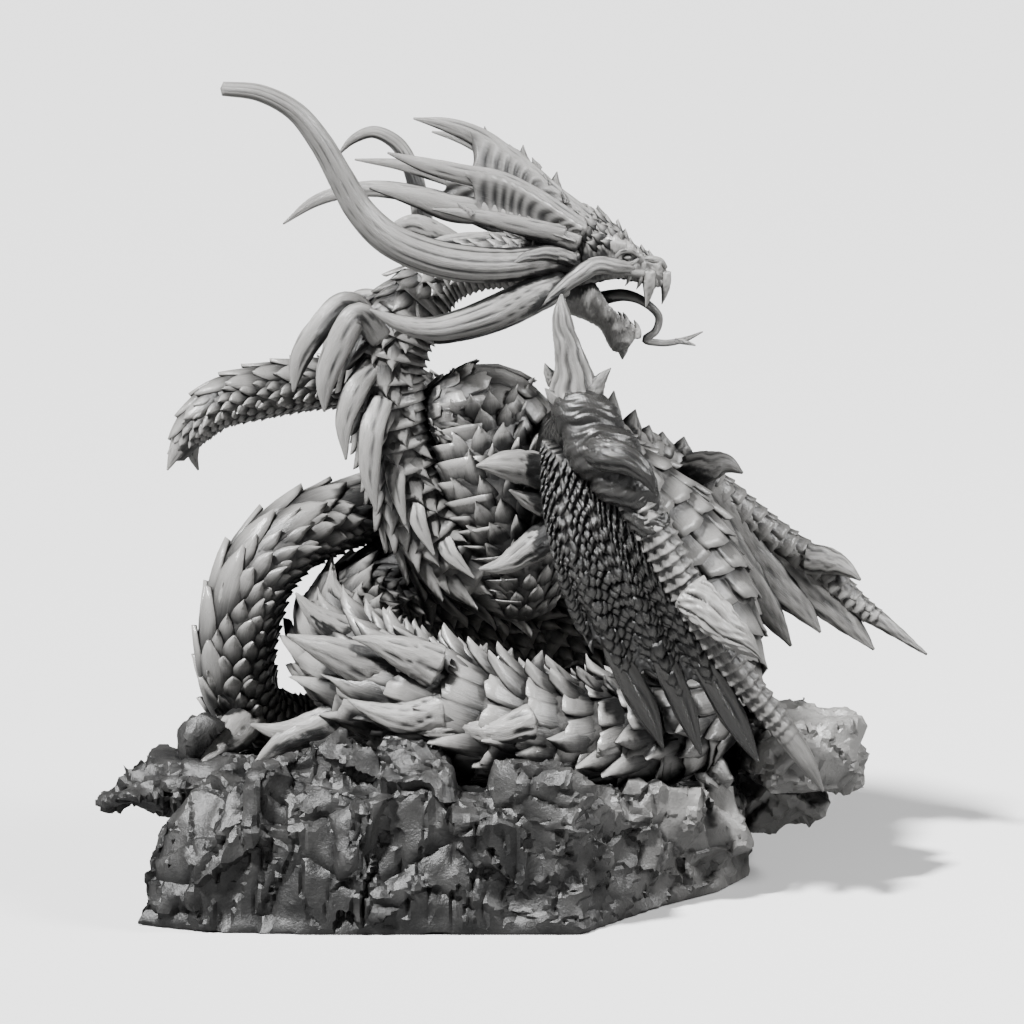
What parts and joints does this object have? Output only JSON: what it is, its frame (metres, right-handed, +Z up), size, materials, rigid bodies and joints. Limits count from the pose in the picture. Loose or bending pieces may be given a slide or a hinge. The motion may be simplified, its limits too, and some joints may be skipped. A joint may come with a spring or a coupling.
{
  "type": "dragon statue",
  "caption": "Cast resin statue of a horned, winged serpent dragon coiled on a broken rock base, for display on a shelf or desk.",
  "frame": {"origin": "on the flat underside of the rock base, below the middle of the figure", "axes": "+Z up; -Y is the side that the picture shows, with the dragon's head turned to +X"},
  "size_m": [0.3405, 0.1696, 0.3357],
  "materials": {
    "dragon_resin": "semi-gloss light grey cast resin",
    "rock_resin": "semi-gloss dark grey cast resin"
  },
  "bodies": {
    "root": {"dragon": "dragon_resin", "rock_base": "rock_resin"}
  },
  "joints": []
}
